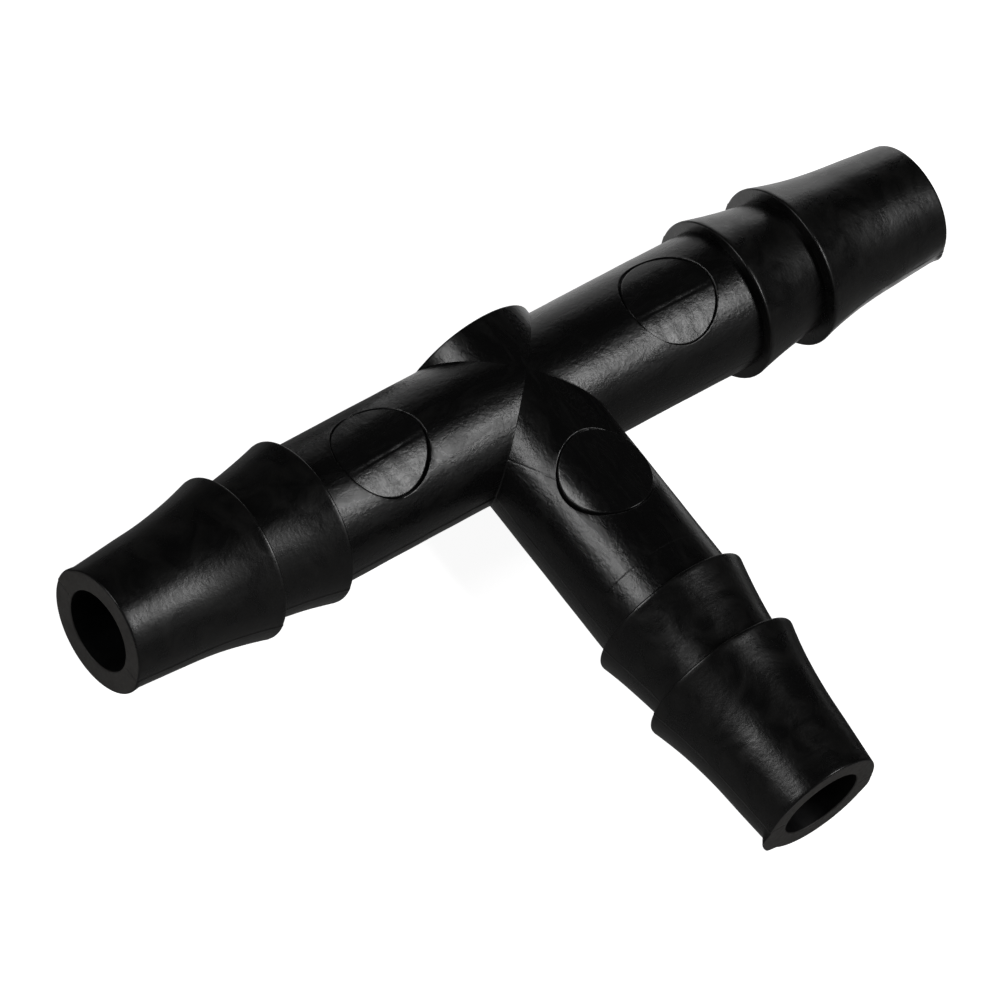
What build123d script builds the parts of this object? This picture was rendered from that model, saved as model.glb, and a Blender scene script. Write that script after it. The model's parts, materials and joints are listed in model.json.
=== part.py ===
from build123d import *
import os
from math import asin, cos, radians, sin, tan

# Barbed tee connector for 1/4 inch micro-irrigation tube, in millimetres.
# The run lies along X, the branch points to -Y, and the mould's parting plane is Z = 0.
# The origin is where the run's axis and the branch's axis cross.

# Driving dimensions
ARM_LENGTH = 15.75      # from the crossing to each open end
PIPE_R = 2.29           # outside radius of the plain pipes
BORE_R = 1.325          # water way, the same in all three arms

TIP_R = 1.99            # outside radius at the open end
TIP_LENGTH = 5.06       # open end to the tip barb's shoulder
TIP_TAPER = 4.4         # half angle of the lead-in cone, degrees
TIP_CONE = 2.2          # length of the lead-in cone before it flares
TIP_ROUND = 0.08        # rounding of the outer edge at the open end
CREST_R = 2.64          # outside radius of every barb
CREST_LAND = 0.1        # cylindrical land on every crest
NECK_R = 2.2            # radius right behind the tip barb's shoulder
NECK_TAPER = 6.5        # half angle at the start of the inner barb, degrees
INNER_LENGTH = 2.55     # tip barb's shoulder to the inner barb's shoulder

BOSS_REACH = 2.18       # flat end of the boss opposite the branch, from the run's axis

RUN_MARK = 5.6          # centre of the ejector mark on each half of the run, from the crossing
RUN_MARK_R = 1.55       # its radius
BRANCH_MARK = 4.05      # centre of the ejector mark on the branch, from the crossing
BRANCH_MARK_R = 1.5     # its radius
MARK_DEPTH = 0.04       # how far each pin's end sits below the pipe
FACET_TILT = 24.0       # slope of the flat on each pin's end, degrees
FACET_START = 0.33      # distance of that flat's edge from the pipe's axis plane

OVERRUN = 1.0           # how far cutting tools run past the faces they open

# Derived dimensions
PIPE_LENGTH = ARM_LENGTH - TIP_LENGTH - INNER_LENGTH
TIP_SHOULDER = ARM_LENGTH - TIP_LENGTH
FLOOR_R = PIPE_R - MARK_DEPTH
MITRE_REACH = PIPE_R + OVERRUN
CUT_HALF_HEIGHT = PIPE_R + OVERRUN


def rod(radius, start, end):
    """Solid cylinder about X between two stations."""
    return Pos((start + end) / 2, 0, 0) * Rot(0, 90, 0) * Cylinder(radius, end - start)


def turned(edges):
    """Solid of revolution about X from a closed outline in the XY plane."""
    return revolve(make_face(Wire(edges)), Axis.X)


def prism(*corners):
    """Upright prism through the whole height of the fitting."""
    outline = Polyline(*corners, close=True)
    return extrude(make_face(outline), CUT_HALF_HEIGHT, both=True)


def flare(start, half_angle, end):
    """Arc that leaves start at the cone's half angle and ends on the crest, towards the crossing."""
    slope = (-cos(radians(half_angle)), sin(radians(half_angle)))
    return TangentArc(start, end, tangent=slope)


def ejector_mark(station, radius, facet_side):
    """Shallow round recess left by one ejector pin on the +Z side of a pipe.

    The pin's end follows the pipe, with one flat on the given side (+1 or -1 in Y).
    """
    span = 4 * radius
    column = Pos(station, 0, PIPE_R) * Cylinder(radius, 2 * PIPE_R)
    pin_floor = rod(FLOOR_R, station - span / 2, station + span / 2)
    edge_height = FLOOR_R * cos(asin(FACET_START / FLOOR_R))
    hinge = Pos(station, facet_side * FACET_START, edge_height)
    tilt = Rot(-facet_side * FACET_TILT, 0, 0)
    above_facet = hinge * tilt * Pos(0, 0, PIPE_R) * Box(span, span, 2 * PIPE_R)
    beside = Pos(station, facet_side * (FACET_START + radius), PIPE_R) * Box(span, 2 * radius, 2 * PIPE_R)
    return column - (pin_floor - (above_facet & beside))


def arm_pipe(mark_station, mark_radius, facet_side):
    """Plain pipe along +X, pointed at the crossing so that the arms meet on mitre planes."""
    pointed = prism(
        (0, 0),
        (MITRE_REACH, MITRE_REACH),
        (PIPE_LENGTH, MITRE_REACH),
        (PIPE_LENGTH, -MITRE_REACH),
        (MITRE_REACH, -MITRE_REACH),
    )
    tube = rod(PIPE_R, 0, PIPE_LENGTH) - rod(BORE_R, -OVERRUN, PIPE_LENGTH + OVERRUN)
    return (tube & pointed) - ejector_mark(mark_station, mark_radius, facet_side)


def inner_barb():
    """Barb next to the plain pipe: flares inward from the neck to a square shoulder."""
    land_end = (PIPE_LENGTH + CREST_LAND, CREST_R)
    return turned(
        [
            flare((TIP_SHOULDER, NECK_R), NECK_TAPER, land_end),
            Line(land_end, (PIPE_LENGTH, CREST_R)),
            Line((PIPE_LENGTH, CREST_R), (PIPE_LENGTH, BORE_R)),
            Line((PIPE_LENGTH, BORE_R), (TIP_SHOULDER, BORE_R)),
            Line((TIP_SHOULDER, BORE_R), (TIP_SHOULDER, NECK_R)),
        ]
    )


def tip_barb():
    """Barb at the open end: a slim lead-in cone that flares up to a square shoulder."""
    face_edge = (ARM_LENGTH, TIP_R - TIP_ROUND)
    cone_start = (ARM_LENGTH - TIP_ROUND, TIP_R)
    cone_end = (cone_start[0] - TIP_CONE, TIP_R + TIP_CONE * tan(radians(TIP_TAPER)))
    land_end = (TIP_SHOULDER + CREST_LAND, CREST_R)
    return turned(
        [
            TangentArc(face_edge, cone_start, tangent=(0, 1)),
            Line(cone_start, cone_end),
            flare(cone_end, TIP_TAPER, land_end),
            Line(land_end, (TIP_SHOULDER, CREST_R)),
            Line((TIP_SHOULDER, CREST_R), (TIP_SHOULDER, BORE_R)),
            Line((TIP_SHOULDER, BORE_R), (ARM_LENGTH, BORE_R)),
            Line((ARM_LENGTH, BORE_R), face_edge),
        ]
    )


def back_boss():
    """Round boss opposite the branch, closed at its flat end, mitred to both run pipes."""
    between = prism((0, 0), (BOSS_REACH, BOSS_REACH), (-BOSS_REACH, BOSS_REACH))
    drum = Rot(0, 0, 90) * rod(PIPE_R, -OVERRUN, BOSS_REACH)
    return (drum & between) - rod(BORE_R, -MITRE_REACH, MITRE_REACH)


# Each arm: direction about Z in degrees, its ejector mark's place and radius, the flat's side
ARMS = {
    "left": (180, RUN_MARK, RUN_MARK_R, 1),
    "right": (0, RUN_MARK, RUN_MARK_R, -1),
    "branch": (-90, BRANCH_MARK, BRANCH_MARK_R, -1),
}

nodes = {"back_boss": back_boss()}
for arm, (turn, mark_station, mark_radius, facet_side) in ARMS.items():
    place = Rot(0, 0, turn)
    pipe_name = "branch_pipe" if arm == "branch" else arm + "_run_pipe"
    nodes[pipe_name] = place * arm_pipe(mark_station, mark_radius, facet_side)
    nodes[arm + "_inner_barb"] = place * inner_barb()
    nodes[arm + "_tip_barb"] = place * tip_barb()

os.makedirs("parts", exist_ok=True)
for name, solid in nodes.items():
    export_step(solid, "parts/" + name + ".step")
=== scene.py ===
import json
import math

import bmesh
import bpy
import numpy as np
from mathutils import Matrix, Vector


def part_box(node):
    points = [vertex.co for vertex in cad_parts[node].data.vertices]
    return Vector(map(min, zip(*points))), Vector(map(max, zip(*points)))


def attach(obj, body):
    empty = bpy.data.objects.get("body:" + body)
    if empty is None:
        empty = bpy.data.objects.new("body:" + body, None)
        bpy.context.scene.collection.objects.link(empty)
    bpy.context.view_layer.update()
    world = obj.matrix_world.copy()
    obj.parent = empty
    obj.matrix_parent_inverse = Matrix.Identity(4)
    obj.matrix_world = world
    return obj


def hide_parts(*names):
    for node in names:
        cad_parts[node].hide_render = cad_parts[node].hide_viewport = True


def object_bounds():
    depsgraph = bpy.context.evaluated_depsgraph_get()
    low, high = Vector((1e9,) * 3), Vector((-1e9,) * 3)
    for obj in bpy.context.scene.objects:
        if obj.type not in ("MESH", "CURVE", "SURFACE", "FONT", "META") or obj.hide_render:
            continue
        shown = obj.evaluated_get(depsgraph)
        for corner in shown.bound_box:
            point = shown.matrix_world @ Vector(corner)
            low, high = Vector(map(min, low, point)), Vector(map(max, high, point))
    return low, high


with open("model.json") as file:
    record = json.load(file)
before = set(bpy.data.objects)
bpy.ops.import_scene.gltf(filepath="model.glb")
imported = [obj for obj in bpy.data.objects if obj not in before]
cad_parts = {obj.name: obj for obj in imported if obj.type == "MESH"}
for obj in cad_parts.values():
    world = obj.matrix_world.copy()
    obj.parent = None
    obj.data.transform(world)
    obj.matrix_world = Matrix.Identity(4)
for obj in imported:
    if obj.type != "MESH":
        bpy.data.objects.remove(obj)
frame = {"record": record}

cad_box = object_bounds()

# ---------------------------------------------------------------------------
# Sizes, in metres. What the CAD model fixes is read from the frame.
# ---------------------------------------------------------------------------
MM = 0.001
PIPE_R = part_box("branch_pipe")[1].x
CREST_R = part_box("left_tip_barb")[1].y
ARM_END = -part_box("left_tip_barb")[0].x
TIP_SHOULDER = -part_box("left_tip_barb")[1].x
INNER_SHOULDER = -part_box("left_inner_barb")[1].x
BOSS_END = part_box("back_boss")[1].y
FLOOR_Z = cad_box[0].z
BORE_R = next(
    m["dims"]["r_mm"] * MM for m in frame["record"]["mounts"] if m["name"] == "run_bore"
)

TIP_R = 1.99 * MM            # outer radius at the open end
TIP_CONE = 2.2 * MM          # straight lead-in before the flare
TIP_TAPER = 4.4              # degrees
NECK_R = 2.2 * MM            # radius behind the tip barb's shoulder
NECK_TAPER = 6.5             # degrees
END_ROUND = 0.05 * MM        # outer edge of the open end
MOUTH_ROUND = 0.04 * MM      # inner edge of the open end
CREST_ROUND = 0.05 * MM      # edge of each barb's shoulder
CREST_LAND = 0.1 * MM        # straight band on every crest
CREST_DROP = 0.004 * MM      # how much lower than the crest that band starts
BOSS_ROUND = 0.05 * MM       # edge of the boss's flat end

LEFT_CREASE = (0.06 * MM, 4.0)     # inside corners: radius at the parting plane, and the power
RIGHT_CREASE = (0.08 * MM, 2.0)    # by which it grows from the top of the pipe
BACK_CREASE = (0.03 * MM, 4.0)
RIDGE_H = 0.016 * MM         # flash along the mould's parting plane
RIDGE_W = 0.035 * MM
UNEVEN = 0.004 * MM          # slow unevenness of every moulded surface
HALF_SHIFT = 0.015 * MM      # lower mould half against the upper one
SHIFT_BLEND = 0.05 * MM      # height over which that step is blended
LIP_EDGE = 14.0              # degrees over which a lip at an open end rises
END_GROOVE = 0.03 * MM       # line that the parting plane leaves across an end face
GROOVE_W = 0.035 * MM

RUN_MARK = 5.6 * MM          # ejector pins, from the crossing
BRANCH_MARK = 4.05 * MM
RUN_MARK_R = 1.55 * MM
BRANCH_MARK_R = 1.50 * MM
RIM_W = 0.05 * MM            # groove round each pin
RIM_DEPTH = 0.035 * MM
MARK_MARGIN = 0.18 * MM      # from the pin's edge to the pipe's regular grid
LEFT_PIN_SKEW = 0.038        # how far the left pin's ridge turns away from the pipe's axis

BOW_START = 2.6 * MM         # each arm is bowed slightly sideways from here to its end
LEFT_BOW, RIGHT_BOW, BRANCH_BOW = 0.09 * MM, -0.178 * MM, -0.09 * MM   # at the open end

FLOOR_HALF = 0.6             # half a side of the square floor
WALL_R, WALL_H = 0.85, 1.2   # plain round wall outside it
WALL_SIDES = 96
TABLE_CARD_Z = -5.0 * MM     # bright cards lie below the floor, which reflections don't see

# Camera: degrees from the front, up and about its line of sight, then distance, aim and lens
CAMERA_AZ, CAMERA_EL, CAMERA_ROLL = -57.587, 55.177, 23.975
CAMERA_DISTANCE = 287.1 * MM
CAMERA_AIM = (-2.233 * MM, -2.443 * MM, 0.0)
CAMERA_LENS = 344.7

# Material slots. A barb's third slot is its open end, and a pipe's is its ejector mark.
SKIN_SLOT, BORE_SLOT, FACE_SLOT, PIN_SLOT = 0, 1, 2, 2

ARC_BASE = 168               # angular divisions round a pipe
LINE_BAND, LINE_STEPS = 0.09, 19   # finer divisions by each parting line: half width, how many
LINE_GAP = 0.012             # even divisions closer than this to a fine one are left out
ROW_STEP = 0.075 * MM        # rows along a pipe
SHARP_ANGLE = math.radians(38.0)   # edges that turn more than this aren't shaded smooth

# Base colours, dark and light, between which each skin varies
PIPE_BLACK, PIPE_WORN = (0.0020, 0.0020, 0.0021, 1), (0.0036, 0.0035, 0.0034, 1)
BARB_BLACK, BARB_WORN = (0.0022, 0.0022, 0.0023, 1), (0.0046, 0.0044, 0.0042, 1)
PIN_BLACK, PIN_GREY = (0.0028, 0.0028, 0.0030, 1), (0.0045, 0.0045, 0.0045, 1)
END_BROWN, END_GREY = (0.016, 0.0145, 0.013, 1), (0.026, 0.024, 0.022, 1)
BORE_BLACK, BORE_GREY = (0.0008, 0.0008, 0.0009, 1), (0.0016, 0.0016, 0.0018, 1)
FLOOR_PALE, FLOOR_WHITE = (0.93, 0.93, 0.93, 1), (0.96, 0.96, 0.96, 1)
FLOOR_GLOW = 0.93
PLASTIC_IOR, BORE_IOR = 1.5, 1.4

# Hairlines on the branch: where the ring lies, and a slanted plane that cuts the seam
RING_Y = 7.06 * MM
SEAM_FACING, SEAM_POINT = (-0.603, -0.467, -0.647), (-1.86, -1.92, 1.26)
SEAM_Y_FROM, SEAM_X_TO = -3.42 * MM, -1.0 * MM


# ---------------------------------------------------------------------------
# Small numeric helpers
# ---------------------------------------------------------------------------
def smooth(x):
    """0 below 0, 1 above 1, smooth between."""
    x = np.clip(x, 0.0, 1.0)
    return x * x * (3.0 - 2.0 * x)


def wobble(a, b, seed, period):
    """Slow deterministic unevenness over two coordinates, about -1 to 1."""
    rng = np.random.default_rng(seed)
    total = 0.0
    for _ in range(6):
        ka, kb = rng.normal(0.0, 2.0 * math.pi / period, 2)
        total = total + np.sin(ka * a + kb * b + rng.uniform(0.0, 2.0 * math.pi))
    return total / 3.0


def angles_round():
    """Angles round an arm from +Z, closer together at the two parting lines."""
    even = np.linspace(-math.pi, math.pi, ARC_BASE, endpoint=False)
    near = np.linspace(-LINE_BAND, LINE_BAND, LINE_STEPS)
    lines = np.concatenate([near - math.pi / 2, near + math.pi / 2])
    keep = [a for a in even if np.abs(a - lines).min() > LINE_GAP]
    return np.sort(np.concatenate([keep, lines]))


PHI = angles_round()


# ---------------------------------------------------------------------------
# Arms: a local frame with the axis along the arm, Z up and "side" across
# ---------------------------------------------------------------------------
class Arm:
    """One arm's place, unevenness, creases, bow, ejector mark and lips of flash."""

    def __init__(self, axis, seed, creases, bow, mark=None, mark_r=None, pin=None, rim=None, lips=()):
        self.axis = np.array(axis, float)
        self.bow = bow
        self.side = np.cross([0.0, 0.0, 1.0], self.axis)
        self.seed = seed
        self.creases = creases
        self.mark, self.mark_r, self.pin, self.rim = mark, mark_r, pin, rim
        self.lips = lips

    def crease(self, phi):
        """Inside corner's radius at each angle; creases are (negative side, positive side)."""
        reach = np.abs(np.sin(phi))
        sizes = [radius * reach**power for radius, power in self.creases]
        return np.where(phi < 0.0, sizes[0], sizes[1]) + 1e-9

    def place(self, t, y, z):
        """Local station, side and height to points in the frame."""
        t, y, z = np.broadcast_arrays(t, y, z)
        bow = self.bow * np.clip((t - BOW_START) / (ARM_END - BOW_START), 0.0, 1.1) ** 2
        points = t[..., None] * self.axis + (y + bow)[..., None] * self.side
        points[..., 2] += z
        return points

    def skin(self, t, r, phi):
        """Point on the outside, with parting-line flash and slow unevenness added."""
        r = r + self.relief(t, phi, r)
        return self.place(t, r * np.sin(phi), r * np.cos(phi))

    def relief(self, t, phi, r):
        """Flash ridge, half mismatch, flash lip at the open end and slow unevenness."""
        away = parting_distance(phi, r)
        flash = np.clip(0.6 + 0.5 * wobble(t, phi, self.seed + 1, 2.4 * MM), 0.1, 1.4)
        ridge = RIDGE_H * flash * np.exp(-((away / RIDGE_W) ** 2))
        lip = 0.0
        for start, end, height, reach in self.lips:
            turn = np.degrees(phi) % 360.0
            across = smooth((turn - start) / LIP_EDGE) * smooth((end - turn) / LIP_EDGE)
            lip = lip + height * across * smooth((t - ARM_END) / reach + 1.0)
        lower = smooth(-np.cos(phi) * r / SHIFT_BLEND + 0.5)
        shift = HALF_SHIFT * np.sin(phi) * lower
        slow = UNEVEN * wobble(t, r * phi, self.seed + 2, 3.0 * MM)
        return ridge + lip + shift + slow


def parting_distance(phi, r):
    """Distance round a pipe from the nearer parting line."""
    return np.minimum(np.abs(phi - math.pi / 2), np.abs(phi + math.pi / 2)) * r


def run_pin(y):
    """Height of a run ejector pin's end. Its flat front half meets the round back half on a ridge."""
    top, back_r, edge = PIPE_R - 0.06 * MM, 2.40 * MM, 0.33 * MM
    first, last, reach = math.tan(math.radians(14.0)), math.tan(math.radians(33.0)), 1.22 * MM
    centre = top - back_r
    back = centre + np.sqrt(np.maximum(back_r**2 - y**2, 0.0))
    d = np.maximum(y - edge, 0.0)
    edge_height = centre + math.sqrt(back_r**2 - edge**2)
    front = edge_height - first * d - (last - first) * d**2 / (2.0 * reach)
    bead = 0.008 * MM * np.exp(-(((y - 0.17 * MM) / (0.05 * MM)) ** 2))
    line = 0.008 * MM * np.exp(-(((y - 0.29 * MM) / (0.04 * MM)) ** 2))
    return np.where(y > edge, front, back) + bead - line


def branch_pin(dt, y):
    """Height of the branch ejector pin's end, which rolls off at the far end of its left side."""
    lean, roll, roll_from = math.tan(math.radians(4.0)), 0.15 / MM, 0.90 * MM
    far_r, sunk = 4.3 * MM, 0.02 * MM
    towards_end = smooth((dt + 0.9 * MM) / (1.2 * MM))
    near = np.sqrt(PIPE_R**2 - y**2) - lean * y * smooth(y / (0.4 * MM))
    near = near - roll * np.maximum(y - roll_from, 0.0) ** 2 * towards_end
    far = PIPE_R - y**2 / (2.0 * far_r)
    return np.where(y > 0.0, near, far) - sunk


# Lips of flash at the open ends: start and end angle round the arm, height, reach along it.
LEFT_LIPS = [(88.0, 305.0, 0.055 * MM, 0.35 * MM)]
RIGHT_LIPS = [(246.0, 276.0, 0.07 * MM, 0.25 * MM)]
BRANCH_LIPS = [(218.0, 268.0, 0.20 * MM, 0.30 * MM), (90.0, 118.0, 0.07 * MM, 0.20 * MM)]

# Each pin's groove is wider on one side: direction round the pin in degrees, extra width.
LEFT_RIM, RIGHT_RIM, BRANCH_RIM = (130.0, 0.9), (135.0, 1.1), (-75.0, 2.0)

ARMS = {
    "left": Arm(
        (-1, 0, 0), 10, (BACK_CREASE, LEFT_CREASE), LEFT_BOW, RUN_MARK, RUN_MARK_R,
        lambda dt, y: run_pin(y - LEFT_PIN_SKEW * dt), LEFT_RIM, LEFT_LIPS,
    ),
    "right": Arm(
        (1, 0, 0), 20, (RIGHT_CREASE, BACK_CREASE), RIGHT_BOW, RUN_MARK, RUN_MARK_R,
        lambda dt, y: run_pin(-y), RIGHT_RIM, RIGHT_LIPS,
    ),
    "branch": Arm(
        (0, -1, 0), 30, (LEFT_CREASE, RIGHT_CREASE), BRANCH_BOW, BRANCH_MARK, BRANCH_MARK_R,
        lambda dt, y: branch_pin(dt, -y), BRANCH_RIM, BRANCH_LIPS,
    ),
}
BOSS = Arm((0, 1, 0), 40, (BACK_CREASE, BACK_CREASE), 0.0)


# ---------------------------------------------------------------------------
# Mesh building
# ---------------------------------------------------------------------------
class Shell:
    """Collects grids of points into one mesh with a material index for every face."""

    def __init__(self):
        self.points, self.faces, self.slots = [], [], []

    def add(self, points):
        """Adds an array of points and gives back their numbers, in the same layout."""
        start = len(self.points)
        self.points.extend(points.reshape(-1, 3).tolist())
        return start + np.arange(points.reshape(-1, 3).shape[0]).reshape(points.shape[:-1])

    def quads(self, index, slot=0, skip=None):
        """Faces between the rows of a grid that closes on itself across its columns."""
        rows, cols = index.shape
        slots = np.broadcast_to(slot, rows - 1)
        for i in range(rows - 1):
            for j in range(cols):
                if skip is not None and skip(i, j):
                    continue
                k = (j + 1) % cols
                self.faces.append((index[i, j], index[i + 1, j], index[i + 1, k], index[i, k]))
                self.slots.append(int(slots[i]))

    def fan(self, ring, centre, slot=0):
        """Triangles from a closed ring to one point."""
        for a, b in zip(ring, np.roll(ring, -1)):
            self.faces.append((a, b, centre))
            self.slots.append(slot)

    def build(self, name, materials):
        """Makes the mesh object: merged, facing outwards, smooth apart from its sharp edges."""
        mesh = bpy.data.meshes.new(name)
        mesh.from_pydata(self.points, [], [tuple(int(v) for v in f) for f in self.faces])
        for material in materials:
            mesh.materials.append(material)
        mesh.polygons.foreach_set("material_index", self.slots)
        tidy = bmesh.new()
        tidy.from_mesh(mesh)
        bmesh.ops.remove_doubles(tidy, verts=tidy.verts, dist=2e-8)
        bmesh.ops.dissolve_degenerate(tidy, edges=tidy.edges, dist=1e-8)
        bmesh.ops.recalc_face_normals(tidy, faces=tidy.faces)
        for face in tidy.faces:
            face.smooth = True
        for edge in tidy.edges:
            if len(edge.link_faces) == 2 and edge.calc_face_angle(0.0) > SHARP_ANGLE:
                edge.smooth = False
        tidy.to_mesh(mesh)
        tidy.free()
        piece = bpy.data.objects.new(name, mesh)
        bpy.context.scene.collection.objects.link(piece)
        return piece


CORNER = 1.0 - math.sqrt(0.5)  # where a rounded right-angled corner crosses the mitre plane


def crease_rise(arm, along, phi):
    """Extra radius that rounds the inside corner where two pipes meet."""
    radius = arm.crease(phi)
    left = np.clip(radius - along, 0.0, radius)
    return radius - np.sqrt(np.maximum(radius**2 - left**2, 0.0))


def pipe_start(arm, phi):
    """Radius and station of the outside on the mitre plane."""
    r = PIPE_R + crease_rise(arm, CORNER * arm.crease(phi), phi)
    return r, r * np.abs(np.sin(phi))


def arc_points(start, end, slope_deg, count):
    """Circular arc from start that leaves at slope_deg and lands on end, in (t, r)."""
    (t0, r0), (t1, r1) = start, end
    chord = math.atan2(r1 - r0, t0 - t1)
    turn = 2.0 * (chord - math.radians(slope_deg))
    length = math.hypot(t1 - t0, r1 - r0)
    radius = length / (2.0 * math.sin(turn / 2.0))
    out = []
    for k in range(count + 1):
        a = math.radians(slope_deg) + turn * k / count
        dt = radius * (math.sin(a) - math.sin(math.radians(slope_deg)))
        dr = radius * (math.cos(math.radians(slope_deg)) - math.cos(a))
        out.append((t0 - dt, r0 + dr))
    return out


def corner_round(centre, radius, start_deg, end_deg, count=5):
    """Quarter-round points in (t, r)."""
    angles = [math.radians(start_deg + (end_deg - start_deg) * k / count) for k in range(count + 1)]
    return [(centre[0] + radius * math.cos(a), centre[1] + radius * math.sin(a)) for a in angles]


def straight(start, end, count, skip_first=True):
    """Evenly spaced points from start to end."""
    steps = np.linspace(0.0, 1.0, count + 1)[1 if skip_first else 0:]
    return [(start[0] + (end[0] - start[0]) * k, start[1] + (end[1] - start[1]) * k) for k in steps]


def crest_edge(shoulder):
    """Rounded edge of a barb's crest, from its top to its square shoulder."""
    return corner_round((shoulder + CREST_ROUND, CREST_R - CREST_ROUND), CREST_ROUND, 90, 180)


def tip_outline():
    """Outside of a tip barb in (t, r), from the mouth to the foot of the shoulder."""
    end_edge = corner_round((ARM_END - END_ROUND, TIP_R - END_ROUND), END_ROUND, 0, 86)
    cone_rise = TIP_CONE * math.tan(math.radians(TIP_TAPER))
    cone_end = (ARM_END - END_ROUND - TIP_CONE, TIP_R + cone_rise)
    cone = straight(end_edge[-1], cone_end, 24)[:-1]
    flare = arc_points(cone_end, (TIP_SHOULDER + CREST_LAND, CREST_R - CREST_DROP), TIP_TAPER, 34)
    return end_edge, cone + flare, crest_edge(TIP_SHOULDER)


def inner_outline():
    """Outside of an inner barb in (t, r), from the neck to the crest's edge."""
    crest_start = (INNER_SHOULDER + CREST_LAND, CREST_R - CREST_DROP)
    flare = arc_points((TIP_SHOULDER, NECK_R), crest_start, NECK_TAPER, 34)
    return flare, crest_edge(INNER_SHOULDER)


def lathe(shell, arm, sections):
    """Turns a closed outline round the arm. Each section: (t, r) points, relief, groove, slot."""
    rows = [(t, r, relief, groove, slot) for points, relief, groove, slot in sections for t, r in points]
    t, r, relief, groove = (np.array([row[k] for row in rows])[:, None] for k in range(4))
    phi = PHI[None, :]
    r = r + relief * arm.relief(t, phi, r)
    t = t - groove * np.exp(-((parting_distance(phi, r) / GROOVE_W) ** 2))
    index = shell.add(arm.place(t, r * np.sin(phi), r * np.cos(phi)))
    shell.quads(np.concatenate([index, index[:1]]), [row[4] for row in rows])


def tip_barb(arm):
    """Open end, lead-in cone, flare, crest and square shoulder, closed along the water way."""
    shell = Shell()
    end_edge, body, crest = tip_outline()
    mouth = corner_round((ARM_END - MOUTH_ROUND, BORE_R + MOUTH_ROUND), MOUTH_ROUND, -90, 0)
    face = straight(mouth[-1], end_edge[0], 10)
    bore_start = (TIP_SHOULDER, BORE_R)
    lathe(shell, arm, [
        (straight(bore_start, mouth[0], 14, skip_first=False)[:-1], 0.0, 0.0, BORE_SLOT),
        (mouth, 0.0, 0.0, FACE_SLOT),
        (face[:1], 0.0, 0.0, FACE_SLOT),
        (face[1:5], 0.3, END_GROOVE, FACE_SLOT),
        (face[5:-1], 0.8, END_GROOVE, FACE_SLOT),
        (face[-1:], 1.0, 0.3 * END_GROOVE, SKIN_SLOT),
        (end_edge[1:] + body + crest, 1.0, 0.0, SKIN_SLOT),
        (straight(crest[-1], (TIP_SHOULDER, NECK_R), 5), 1.0, 0.0, SKIN_SLOT),
        (straight((TIP_SHOULDER, NECK_R), bore_start, 6)[:-1], 0.0, 0.0, SKIN_SLOT),
    ])
    return shell


def inner_barb(arm):
    """Neck, flare, crest and square shoulder of the barb next to the plain pipe."""
    shell = Shell()
    flare, crest = inner_outline()
    bore_start = (INNER_SHOULDER, BORE_R)
    lathe(shell, arm, [
        (straight(bore_start, (TIP_SHOULDER, BORE_R), 8, skip_first=False), 0.0, 0.0, BORE_SLOT),
        (straight((TIP_SHOULDER, BORE_R), flare[0], 5)[:-1], 0.0, 0.0, SKIN_SLOT),
        (flare + crest, 1.0, 0.0, SKIN_SLOT),
        (straight(crest[-1], (INNER_SHOULDER, PIPE_R), 5), 1.0, 0.0, SKIN_SLOT),
        (straight((INNER_SHOULDER, PIPE_R), bore_start, 6)[:-1], 0.0, 0.0, SKIN_SLOT),
    ])
    return shell


def pipe_rows(arm):
    """Stations of the regular rows on a pipe, from just past the mitre to the barb."""
    first = PIPE_R + 0.12 * MM
    count = int(round((INNER_SHOULDER - first) / ROW_STEP))
    return np.linspace(first, INNER_SHOULDER, count + 1)


def pipe_outside(shell, arm):
    """Outer surface of a plain pipe, with its ejector mark let in as a round patch."""
    phi = PHI[None, :]
    r0, t0 = pipe_start(arm, phi)
    rows = pipe_rows(arm)
    blend = (np.linspace(0.0, 1.0, 15)[:-1] ** 1.5)[:, None]
    near_t = t0 + (rows[0] - t0) * blend
    t = np.concatenate([near_t, np.repeat(rows[:, None], len(PHI), 1)])
    r = PIPE_R + crease_rise(arm, CORNER * arm.crease(phi) + t - t0, phi)
    index = shell.add(arm.skin(t, r, phi))
    half_t = arm.mark_r + MARK_MARGIN
    half_phi = math.asin(half_t / PIPE_R)
    rows_in = [i for i in range(len(near_t), len(t)) if abs(t[i, 0] - arm.mark) <= half_t]
    cols_in = [j for j in range(len(PHI)) if abs(PHI[j]) <= half_phi]
    i0, i1, j0, j1 = rows_in[0], rows_in[-1], cols_in[0], cols_in[-1]
    shell.quads(index, SKIN_SLOT, skip=lambda i, j: i0 <= i < i1 and j0 <= j < j1)
    mark_patch(shell, arm, index, t, (i0, i1, j0, j1))
    return index


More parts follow.
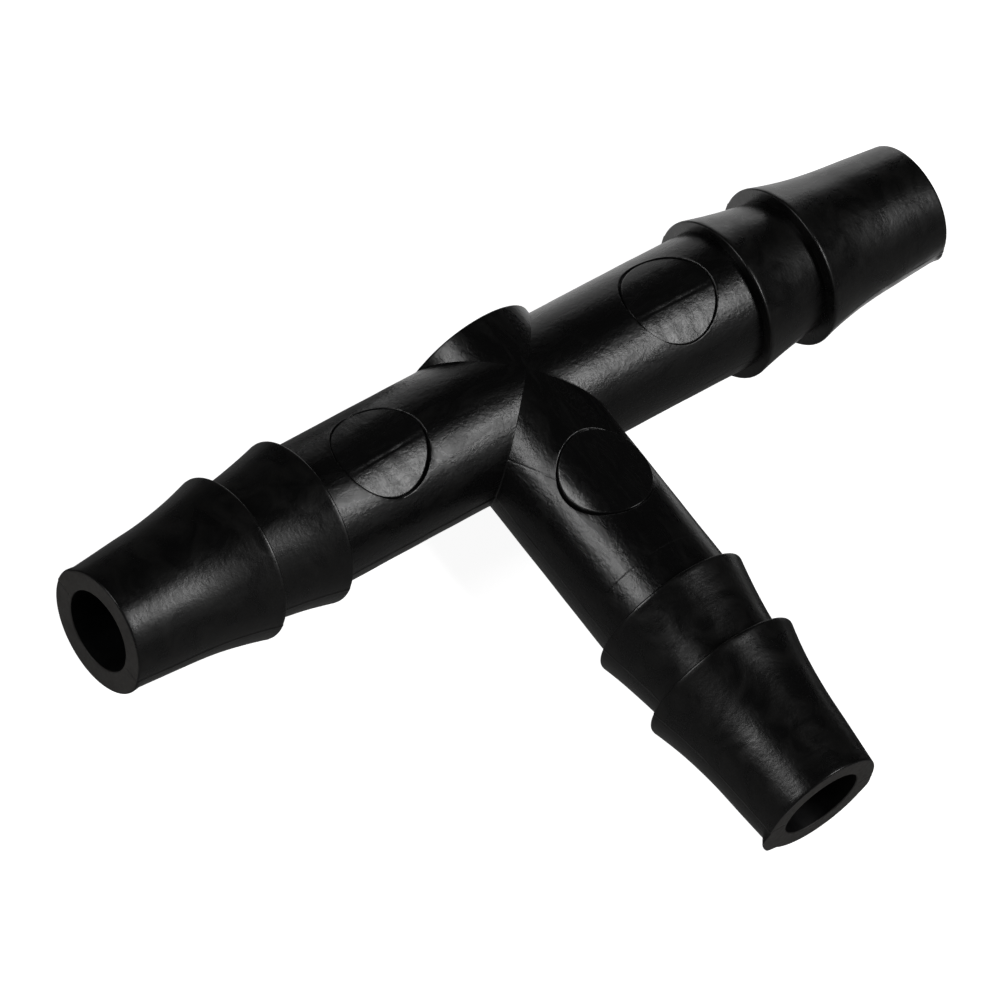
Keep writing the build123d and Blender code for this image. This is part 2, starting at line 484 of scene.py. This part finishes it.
def mark_patch(shell, arm, index, t, window):
    """Fills a window of the pipe's grid with rings round the ejector pin's outline."""
    i0, i1, j0, j1 = window
    loop = [(i, j0) for i in range(i0, i1)]
    loop += [(i1, j) for j in range(j0, j1)]
    loop += [(i, j1) for i in range(i1, i0, -1)]
    loop += [(i0, j) for j in range(j1, j0, -1)]
    border = np.array([index[i, j] for i, j in loop])
    loop_t = np.array([t[i, j] for i, j in loop])
    loop_phi = np.array([PHI[j] for _, j in loop])
    angle = np.arctan2(PIPE_R * np.sin(loop_phi), loop_t - arm.mark)

    def on_pipe(radius, sink=0.0):
        y = radius * np.sin(angle)
        height = np.sqrt(PIPE_R**2 - y**2) - sink
        return arm.place(arm.mark + radius * np.cos(angle), y, height)

    rim_r = arm.mark_r + 0.03 * MM
    rim_t = arm.mark + rim_r * np.cos(angle)
    rim_phi = np.arcsin(rim_r * np.sin(angle) / PIPE_R)
    rings = [border]
    for w in (0.25, 0.5, 0.75, 1.0):
        mix_t, mix_phi = loop_t + (rim_t - loop_t) * w, loop_phi + (rim_phi - loop_phi) * w
        rings.append(shell.add(arm.skin(mix_t, PIPE_R, mix_phi)))
    rings.append(shell.add(on_pipe(arm.mark_r + 0.012 * MM)))
    rings.append(shell.add(on_pipe(arm.mark_r, 0.008 * MM)))
    heading, gain = arm.rim
    wide = 1.0 + gain * np.maximum(np.cos(angle - math.radians(heading)), 0.0) ** 2
    rings.append(shell.add(on_pipe(arm.mark_r - 0.3 * RIM_W, RIM_DEPTH * wide)))
    for share, sink in ((0.6, 1.0), (0.9, 0.25), (1.15, 0.0)):
        inset = share * RIM_W * wide
        rings.append(shell.add(pin_end(arm, arm.mark_r - inset, angle, sink * RIM_DEPTH * wide)))
    for share in np.linspace(1.0, 0.012, 56):
        rings.append(shell.add(pin_end(arm, share * (arm.mark_r - 1.4 * RIM_W * wide), angle)))
    grid = np.stack(rings)
    outside_pin = 10
    shell.quads(grid, [SKIN_SLOT] * outside_pin + [PIN_SLOT] * (len(grid) - 1 - outside_pin))
    shell.fan(grid[-1], shell.add(pin_end(arm, 0.0, np.zeros(1)))[0], PIN_SLOT)


def pin_end(arm, radius, angle, sink=0.0):
    """Points on the floor that an ejector pin leaves."""
    dt, y = radius * np.cos(angle), radius * np.sin(angle)
    uneven = 0.003 * MM * wobble(dt, y, arm.seed + 5, 1.2 * MM)
    z = arm.pin(dt, y) + uneven - sink
    return arm.place(arm.mark + dt, y, z)


def arm_pipe(arm):
    """Plain pipe: its outside, its bore, the mitred start and the flat end under the inner barb."""
    shell = Shell()
    outside = pipe_outside(shell, arm)
    bore_t0 = BORE_R * np.abs(np.sin(PHI))[None, :]
    w = np.linspace(0.0, 1.0, 16)[:, None]
    bore_t = bore_t0 + (INNER_SHOULDER - bore_t0) * w
    bore = shell.add(arm.place(bore_t, BORE_R * np.sin(PHI)[None, :], BORE_R * np.cos(PHI)[None, :]))
    shell.quads(bore, BORE_SLOT)
    shell.quads(np.stack([bore[0], outside[0]]), SKIN_SLOT)
    shell.quads(np.stack([outside[-1], bore[-1]]), SKIN_SLOT)
    return shell


def back_boss():
    """Round boss opposite the branch: closed flat end, mitred to both run pipes."""
    arm = BOSS
    shell = Shell()
    phi = PHI[None, :]
    sin_phi = np.maximum(np.abs(np.sin(phi)), 1e-6)
    r0, _ = pipe_start(arm, phi)
    r_side = np.minimum(r0, BOSS_END / sin_phi)
    t0 = np.minimum(r_side * sin_phi, BOSS_END)
    w = np.concatenate([np.linspace(0.0, 0.94, 14), [0.955, 0.97, 0.982, 0.992, 1.0]])[:, None]
    t = t0 + (BOSS_END - t0) * w
    edge = np.clip((t - (BOSS_END - BOSS_ROUND)) / BOSS_ROUND, 0.0, 1.0)
    room = smooth((BOSS_END - t0) / (0.2 * MM))
    round_off = BOSS_ROUND * (1.0 - np.sqrt(1.0 - np.minimum(edge, 0.98) ** 2)) * room
    rise = crease_rise(arm, CORNER * arm.crease(phi) + t - t0, phi)
    r = np.minimum(PIPE_R + rise - round_off, np.where(t0 >= BOSS_END, r_side, 1.0))
    side = shell.add(arm.place(t, r * np.sin(phi), r * np.cos(phi)))
    shell.quads(side, SKIN_SLOT)
    end_r = np.linspace(1.0, 0.06, 8)[:, None] * r[-1]
    end_t = np.full_like(end_r, BOSS_END)
    end = shell.add(arm.place(end_t, end_r * np.sin(phi), end_r * np.cos(phi)))
    shell.quads(np.concatenate([side[-1:], end[1:]]), SKIN_SLOT)
    shell.fan(end[-1], shell.add(arm.place(np.array([BOSS_END]), np.zeros(1), np.zeros(1)))[0])
    bore_y = np.sqrt(np.maximum(BORE_R**2 - (BORE_R * np.cos(phi)) ** 2, 0.0))
    rows = np.linspace(0.0, 1.0, 9)[:, None]
    bore_x = BORE_R * np.sin(phi) * (1.0 - rows)
    inner = shell.add(arm.place(bore_y + 0.0 * rows, bore_x, BORE_R * np.cos(phi) + 0.0 * rows))
    shell.quads(np.stack([inner[0], side[0]]), SKIN_SLOT)
    shell.quads(inner, BORE_SLOT)
    return shell


# ---------------------------------------------------------------------------
# Materials
# ---------------------------------------------------------------------------
class Nodes:
    """Short forms for building a material's node tree."""

    def __init__(self, name):
        self.material = bpy.data.materials.new(name)
        self.material.use_nodes = True
        self.tree = self.material.node_tree
        self.tree.nodes.clear()

    def new(self, kind, inputs=(), **values):
        """Adds a node; an input is either another node's socket, which is linked, or a value."""
        node = self.tree.nodes.new(kind)
        for key, value in values.items():
            setattr(node, key, value)
        for key, value in dict(inputs).items():
            if isinstance(value, bpy.types.NodeSocket):
                self.tree.links.new(value, node.inputs[key])
            else:
                node.inputs[key].default_value = value
        return node

    def position(self, scale):
        """Position in the shared frame, in millimetres, stretched by scale."""
        place = self.new("ShaderNodeTexCoord").outputs["Object"]
        stretch = tuple(s / MM for s in scale)
        return self.new("ShaderNodeVectorMath", {0: place, 1: stretch}, operation="MULTIPLY").outputs[0]

    def noise(self, where, scale, detail=3.0, rough=0.55, distortion=0.0):
        inputs = {"Vector": where, "Scale": scale, "Detail": detail, "Roughness": rough}
        inputs["Distortion"] = distortion
        return self.new("ShaderNodeTexNoise", inputs).outputs["Fac"]

    def grain(self, along, by_along, by_across, scale, detail, rough, distortion):
        """Noise with one scale along the arm's axis and another across it."""
        where = self.position(tuple(by_along if a else by_across for a in along))
        return self.noise(where, scale, detail, rough, distortion)

    def spread(self, value, low, high, to_low, to_high):
        """Maps low to high onto another range, held at its ends."""
        inputs = {"Value": value, "From Min": low, "From Max": high, "To Min": to_low, "To Max": to_high}
        return self.new("ShaderNodeMapRange", inputs, clamp=True).outputs["Result"]

    def maths(self, operation, a, b):
        return self.new("ShaderNodeMath", {0: a, 1: b}, operation=operation).outputs[0]

    def blend_colour(self, factor, a, b):
        node = self.tree.nodes.new("ShaderNodeMix")
        node.data_type = "RGBA"
        self.tree.links.new(factor, node.inputs["Factor"])
        node.inputs[6].default_value = a
        node.inputs[7].default_value = b
        return node.outputs[2]

    def bump(self, height, strength, distance, normal=None):
        inputs = {"Height": height, "Strength": strength, "Distance": distance}
        if normal is not None:
            inputs["Normal"] = normal
        return self.new("ShaderNodeBump", inputs).outputs["Normal"]

    def finish(self, colour, rough, ior, more=()):
        inputs = {"Base Color": colour, "Roughness": rough, "IOR": ior}
        inputs.update(more)
        shader = self.new("ShaderNodeBsdfPrincipled", inputs)
        out = self.new("ShaderNodeOutputMaterial")
        self.tree.links.new(shader.outputs[0], out.inputs["Surface"])
        return self.material


def pipe_plastic(name, along, witness=None):
    """Satin black pipe: leathery grain, wrinkles dragged along the arm and light scuffs."""
    n = Nodes(name)
    even = n.position((1.0, 1.0, 1.0))
    fine = n.noise(even, 7.5, 4.0, 0.6)
    wrinkle = n.grain(along, 0.7, 1.2, 3.6, 5.0, 0.62, 1.0)
    wave = n.noise(even, 0.9, 2.0, 0.5)
    scuff = n.grain(along, 0.5, 1.4, 1.3, 5.0, 0.62, 0.8)
    worn = n.spread(scuff, 0.48, 0.66, 0.0, 1.0)
    shine = n.spread(worn, 0.0, 1.0, 0.27, 0.36)
    colour = n.blend_colour(worn, PIPE_BLACK, PIPE_WORN)
    normal = n.bump(wave, 0.5, 0.026 * MM)
    normal = n.bump(wrinkle, 0.5, 0.016 * MM, normal)
    normal = n.bump(fine, 0.5, 0.020 * MM, normal)
    if witness is not None:
        normal = n.bump(witness(n), 1.0, 0.008 * MM, normal)
    return n.finish(colour, shine, PLASTIC_IOR, {"Normal": normal})


def barb_plastic(name, along):
    """Barbs: duller patches among polished ones, over faint turning marks."""
    n = Nodes(name)
    even = n.position((1.0, 1.0, 1.0))
    fine = n.noise(even, 6.5, 4.0, 0.62)
    turning = n.grain(along, 3.4, 0.22, 3.0, 3.0, 0.6, 0.2)
    drawn = n.grain(along, 0.25, 1.3, 1.7, 4.0, 0.6, 1.3)
    swirl = n.noise(even, 0.8, 4.0, 0.55, 1.6)
    worn = n.spread(swirl, 0.40, 0.64, 0.0, 1.0)
    shine = n.spread(worn, 0.0, 1.0, 0.27, 0.36)
    colour = n.blend_colour(worn, BARB_BLACK, BARB_WORN)
    normal = n.bump(swirl, 0.5, 0.011 * MM)
    normal = n.bump(drawn, 0.5, 0.010 * MM, normal)
    normal = n.bump(turning, 0.4, 0.006 * MM, normal)
    normal = n.bump(fine, 0.5, 0.014 * MM, normal)
    return n.finish(colour, shine, PLASTIC_IOR, {"Normal": normal})


def pin_plastic(name, along):
    """Ejector pin ends: the same grain on a smoother, slightly brighter polish."""
    n = Nodes(name)
    fine = n.noise(n.position((1.0, 1.0, 1.0)), 7.0, 4.0, 0.6)
    wrinkle = n.grain(along, 0.5, 1.3, 3.0, 4.0, 0.6, 1.2)
    shine = n.spread(wrinkle, 0.35, 0.65, 0.21, 0.30)
    colour = n.blend_colour(wrinkle, PIN_BLACK, PIN_GREY)
    normal = n.bump(wrinkle, 0.5, 0.009 * MM)
    normal = n.bump(fine, 0.5, 0.014 * MM, normal)
    return n.finish(colour, shine, PLASTIC_IOR, {"Normal": normal})


def cut_face():
    """Open end, duller and browner than the polished sides."""
    n = Nodes("end_face")
    even = n.position((1.0, 1.0, 1.0))
    fine = n.noise(even, 7.0, 4.0, 0.6)
    cloud = n.noise(even, 1.2, 3.0, 0.6)
    colour = n.blend_colour(n.spread(cloud, 0.3, 0.7, 0.0, 1.0), END_BROWN, END_GREY)
    rough = n.spread(fine, 0.3, 0.7, 0.45, 0.6)
    normal = n.bump(fine, 0.35, 0.012 * MM)
    return n.finish(colour, rough, PLASTIC_IOR, {"Normal": normal})


def bore_plastic():
    """Inside of the water way: core-pin polish with long draw lines."""
    n = Nodes("bore")
    lines = n.noise(n.position((0.3, 0.3, 1.5)), 5.0, 3.0, 0.6)
    colour = n.blend_colour(lines, BORE_BLACK, BORE_GREY)
    rough = n.spread(lines, 0.3, 0.7, 0.40, 0.55)
    normal = n.bump(lines, 0.25, 0.01 * MM)
    return n.finish(colour, rough, BORE_IOR, {"Normal": normal})


def branch_witness(n):
    """Two hairlines on the branch: a ring before the inner barb and a seam by the crossing."""
    where = n.new("ShaderNodeTexCoord").outputs["Object"]
    split = n.new("ShaderNodeSeparateXYZ", {0: where})
    ring = n.maths("ABSOLUTE", n.maths("ADD", split.outputs["Y"], RING_Y), 0.0)
    facing = Vector(SEAM_FACING).normalized()
    dot = n.new("ShaderNodeVectorMath", {0: where, 1: facing}, operation="DOT_PRODUCT")
    offset = n.maths("SUBTRACT", dot.outputs["Value"], facing.dot(Vector(SEAM_POINT) * MM))
    seam = n.maths("ABSOLUTE", offset, 0.0)
    near_crossing = n.maths("GREATER_THAN", split.outputs["Y"], SEAM_Y_FROM)
    left_side = n.maths("LESS_THAN", split.outputs["X"], SEAM_X_TO)
    on_seam = n.maths("MULTIPLY", near_crossing, left_side)
    ring_depth = n.spread(ring, 0.0, 0.03 * MM, 0.5, 0.0)
    seam_depth = n.maths("MULTIPLY", n.spread(seam, 0.0, 0.05 * MM, 0.5, 0.0), on_seam)
    return n.maths("MULTIPLY", n.maths("MAXIMUM", ring_depth, seam_depth), -1.0)


RUN_AXIS, BRANCH_AXIS = (1, 0, 0), (0, 1, 0)
BORE = bore_plastic()
END_FACE = cut_face()
RUN_FINISH = {
    "pipe": [pipe_plastic("run_pipe_plastic", RUN_AXIS), BORE, pin_plastic("run_pin_plastic", RUN_AXIS)],
    "barb": [barb_plastic("run_barb_plastic", RUN_AXIS), BORE, END_FACE],
}
BRANCH_FINISH = {
    "pipe": [
        pipe_plastic("branch_pipe_plastic", BRANCH_AXIS, branch_witness),
        BORE,
        pin_plastic("branch_pin_plastic", BRANCH_AXIS),
    ],
    "barb": [barb_plastic("branch_barb_plastic", BRANCH_AXIS), BORE, END_FACE],
}
BOSS_FINISH = [pipe_plastic("boss_plastic", BRANCH_AXIS), BORE]


# ---------------------------------------------------------------------------
# The pieces
# ---------------------------------------------------------------------------
def install(shell, node, materials):
    """Builds one moulded piece and puts it in its CAD node's place."""
    piece = shell.build("moulded_" + node, materials)
    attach(piece, "root")
    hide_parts(node)


for arm_name, arm in ARMS.items():
    on_branch = arm_name == "branch"
    finish = BRANCH_FINISH if on_branch else RUN_FINISH
    install(arm_pipe(arm), "branch_pipe" if on_branch else arm_name + "_run_pipe", finish["pipe"])
    install(inner_barb(arm), arm_name + "_inner_barb", finish["barb"])
    install(tip_barb(arm), arm_name + "_tip_barb", finish["barb"])
install(back_boss(), "back_boss", BOSS_FINISH)


# ---------------------------------------------------------------------------
# Floor, light and camera
# ---------------------------------------------------------------------------
def pale_paint():
    """Bright matt white with a very faint unevenness, for the floor and the wall round it."""
    n = Nodes("pale_floor")
    tone = n.noise(n.position((1.0, 1.0, 1.0)), 0.02, 2.0)
    colour = n.blend_colour(tone, FLOOR_PALE, FLOOR_WHITE)
    glow = {"Emission Color": (1, 1, 1, 1), "Emission Strength": FLOOR_GLOW}
    return n.finish(colour, 0.9, PLASTIC_IOR, glow)


def pale_floor():
    """Square floor and a plain round wall outside it, which stay out of the part's reflections."""
    corners = np.array([(-1, -1), (1, -1), (1, 1), (-1, 1)]) * FLOOR_HALF
    floor_shell = Shell()
    floor_ring = floor_shell.add(np.column_stack([corners, np.full(4, FLOOR_Z)]))
    floor_shell.fan(floor_ring, floor_shell.add(np.array([[0.0, 0.0, FLOOR_Z]]))[0])
    around = np.linspace(0.0, 2.0 * math.pi, WALL_SIDES, endpoint=False)
    circle = np.column_stack([np.cos(around), np.sin(around)]) * WALL_R
    rings = [np.column_stack([circle, np.full(WALL_SIDES, z)]) for z in (-WALL_H, WALL_H)]
    wall_shell = Shell()
    wall_shell.quads(wall_shell.add(np.array(rings)))
    paint = pale_paint()
    floor = floor_shell.build("floor", [paint])
    wall = wall_shell.build("backdrop", [paint])
    wall.visible_diffuse = False
    for piece in (floor, wall):
        piece.visible_glossy = False
        piece.visible_shadow = False


def direction(azimuth, elevation):
    """Unit vector; azimuth 0 is towards -Y and 90 towards +X."""
    az, el = math.radians(azimuth), math.radians(elevation)
    return Vector((math.sin(az) * math.cos(el), -math.cos(az) * math.cos(el), math.sin(el)))


def softbox(name, azimuth, elevation, distance, size, power, turn=0.0):
    """Rectangular soft light that faces the origin, turned about its own axis."""
    light = bpy.data.lights.new(name, "AREA")
    light.shape = "RECTANGLE"
    light.size, light.size_y = size
    light.energy = power
    lamp = bpy.data.objects.new(name, light)
    towards = direction(azimuth, elevation)
    facing = towards.to_track_quat("Z", "Y").to_matrix().to_4x4()
    spin = Matrix.Rotation(math.radians(turn), 4, "Z")
    lamp.matrix_world = Matrix.Translation(towards * distance) @ facing @ spin
    bpy.context.scene.collection.objects.link(lamp)
    return lamp


def card(name, centre, size, glow, tilt, swing=0.0):
    """Bright card by the part, hidden from the camera; tilt 180 faces up and -90 faces -Y."""
    lamp = softbox(name, 0.0, 90.0, 1.0, size, glow * math.pi * size[0] * size[1])
    turn = Matrix.Rotation(math.radians(swing), 4, "Z") @ Matrix.Rotation(math.radians(tilt), 4, "X")
    lamp.matrix_world = Matrix.Translation(Vector(centre)) @ turn
    lamp.visible_camera = False


def surroundings():
    """Dim room, a little brighter behind and on the table in front and below."""
    world = bpy.data.worlds.new("room")
    world.use_nodes = True
    tree = world.node_tree
    tree.nodes.clear()
    where = tree.nodes.new("ShaderNodeTexCoord")
    out = tree.nodes.new("ShaderNodeOutputWorld")
    back = tree.nodes.new("ShaderNodeBackground")

    def facing(vector, low, high, to_low, to_high):
        """Strength that grows as the direction looked in nears a vector."""
        dot = tree.nodes.new("ShaderNodeVectorMath")
        dot.operation = "DOT_PRODUCT"
        tree.links.new(where.outputs["Generated"], dot.inputs[0])
        dot.inputs[1].default_value = vector
        ramp = tree.nodes.new("ShaderNodeMapRange")
        ramp.interpolation_type = "SMOOTHSTEP"
        tree.links.new(dot.outputs["Value"], ramp.inputs["Value"])
        limits = {"From Min": low, "From Max": high, "To Min": to_low, "To Max": to_high}
        for key, value in limits.items():
            ramp.inputs[key].default_value = value
        return ramp.outputs["Result"]

    behind = facing((0.6, 0.8, 0.0), 0.80, 0.98, 0.0, 0.02)
    below = facing((-0.3, -0.65, -0.7), -0.15, 0.5, 0.02, 0.115)
    add = tree.nodes.new("ShaderNodeMath")
    tree.links.new(behind, add.inputs[0])
    tree.links.new(below, add.inputs[1])
    tree.links.new(add.outputs[0], back.inputs["Strength"])
    back.inputs["Color"].default_value = (1.0, 1.0, 0.985, 1)
    tree.links.new(back.outputs[0], out.inputs["Surface"])
    bpy.context.scene.world = world


def camera():
    """Long lens from the front left and above, rolled so that the run climbs to the right."""
    data = bpy.data.cameras.new("camera")
    data.lens, data.sensor_width = CAMERA_LENS, 36.0
    data.clip_start, data.clip_end = 0.01, 10.0
    back = direction(CAMERA_AZ, CAMERA_EL)
    level_right = Vector((0.0, 0.0, 1.0)).cross(back).normalized()
    turn = Matrix.Rotation(math.radians(CAMERA_ROLL), 3, back)
    right = turn @ level_right
    up = back.cross(right)
    seat = bpy.data.objects.new("camera", data)
    place = Matrix.Translation(Vector(CAMERA_AIM) + back * CAMERA_DISTANCE)
    seat.matrix_world = place @ Matrix((right, up, back)).transposed().to_4x4()
    bpy.context.scene.collection.objects.link(seat)
    bpy.context.scene.camera = seat


pale_floor()
softbox("right_front_softbox", 40.0, 50.0, 0.36, (0.075, 0.165), 0.43, -37.0)
softbox("front_fill", 25.0, 28.0, 0.36, (0.22, 0.20), 0.03)
softbox("left_back_softbox", -112.0, 36.0, 0.36, (0.10, 0.13), 0.32)
card("table_card", (24.5 * MM, 16.2 * MM, TABLE_CARD_Z), (0.035, 0.042), 0.75, 180.0, -24.0)
card("table_left_card", (-7.0 * MM, 12.5 * MM, TABLE_CARD_Z), (0.018, 0.023), 0.10, 180.0)
card("back_card", (21.0 * MM, 30.0 * MM, 4.0 * MM), (0.024, 0.016), 0.45, -90.0)
card("far_back_card", (47.0 * MM, 30.0 * MM, 2.5 * MM), (0.028, 0.013), 1.1, -90.0)
surroundings()
camera()
bpy.context.scene.view_settings.view_transform = "Standard"
